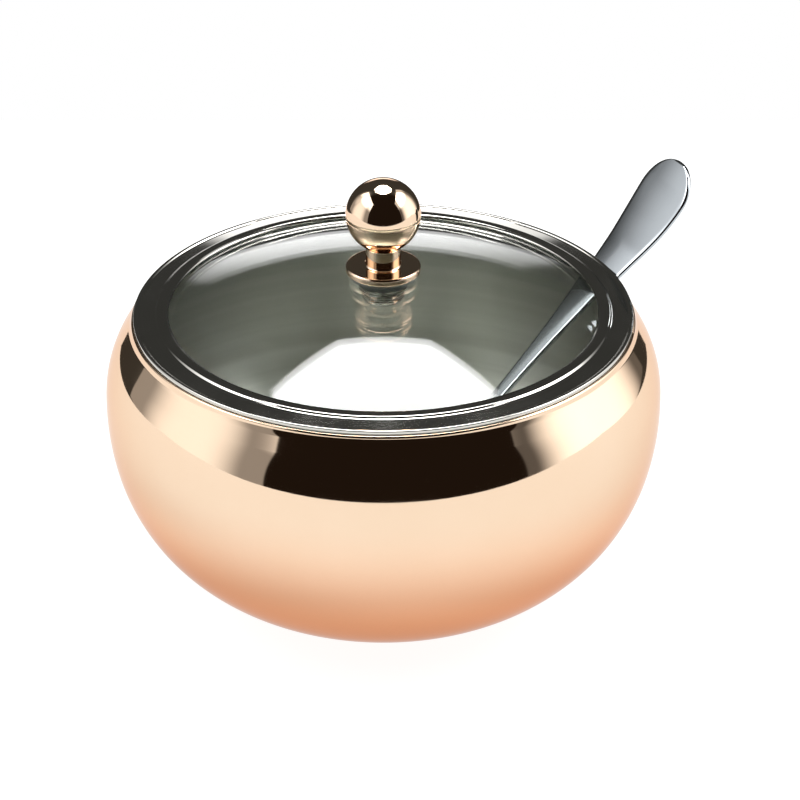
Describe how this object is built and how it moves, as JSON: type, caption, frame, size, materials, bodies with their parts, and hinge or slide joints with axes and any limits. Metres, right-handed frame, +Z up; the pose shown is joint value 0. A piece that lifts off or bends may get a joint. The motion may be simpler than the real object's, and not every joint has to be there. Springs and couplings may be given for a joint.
{
  "type": "sugar bowl",
  "caption": "Round-bellied metal sugar bowl with a ball-knobbed domed glass lid in a steel ring, and a spoon that leans out through a notch in the lip.",
  "frame": {"origin": "centre of the bowl's flat base, on the surface it stands on", "axes": "+Z up along the bowl's axis, +X towards the spoon notch in the lip, +Y to the left of it"},
  "size_m": [0.1185, 0.1062, 0.0852],
  "materials": {
    "rose_gold_mirror": "rose-gold plated stainless, mirror polished outside, brushed bare steel inside",
    "ring_steel": "polished stainless steel",
    "clear_glass": "clear tempered glass",
    "clear_silicone": "translucent silicone",
    "knob_rose_gold": "rose-gold plated zinc, mirror polished",
    "screw_steel": "turned stainless steel",
    "spoon_steel": "polished stainless steel"
  },
  "bodies": {
    "bowl": {"bowl_body": "rose_gold_mirror"},
    "spoon": {"spoon": "spoon_steel"},
    "lid": {"lid_frame": "ring_steel", "lid_glass": "clear_glass", "glass_seal": "clear_silicone", "knob": "knob_rose_gold", "knob_washer": "clear_silicone", "screw_seal": "clear_silicone", "screw_washer": "screw_steel", "knob_screw": "screw_steel"}
  },
  "joints": [
    {"name": "spoon_lift", "type": "slide", "parent": "bowl", "child": "spoon", "axis": [0, 0, 1], "range_m": [0, 0.075]},
    {"name": "lid_lift", "type": "slide", "parent": "spoon", "child": "lid", "axis": [0, 0, 1], "range_m": [0, 0.06]}
  ]
}
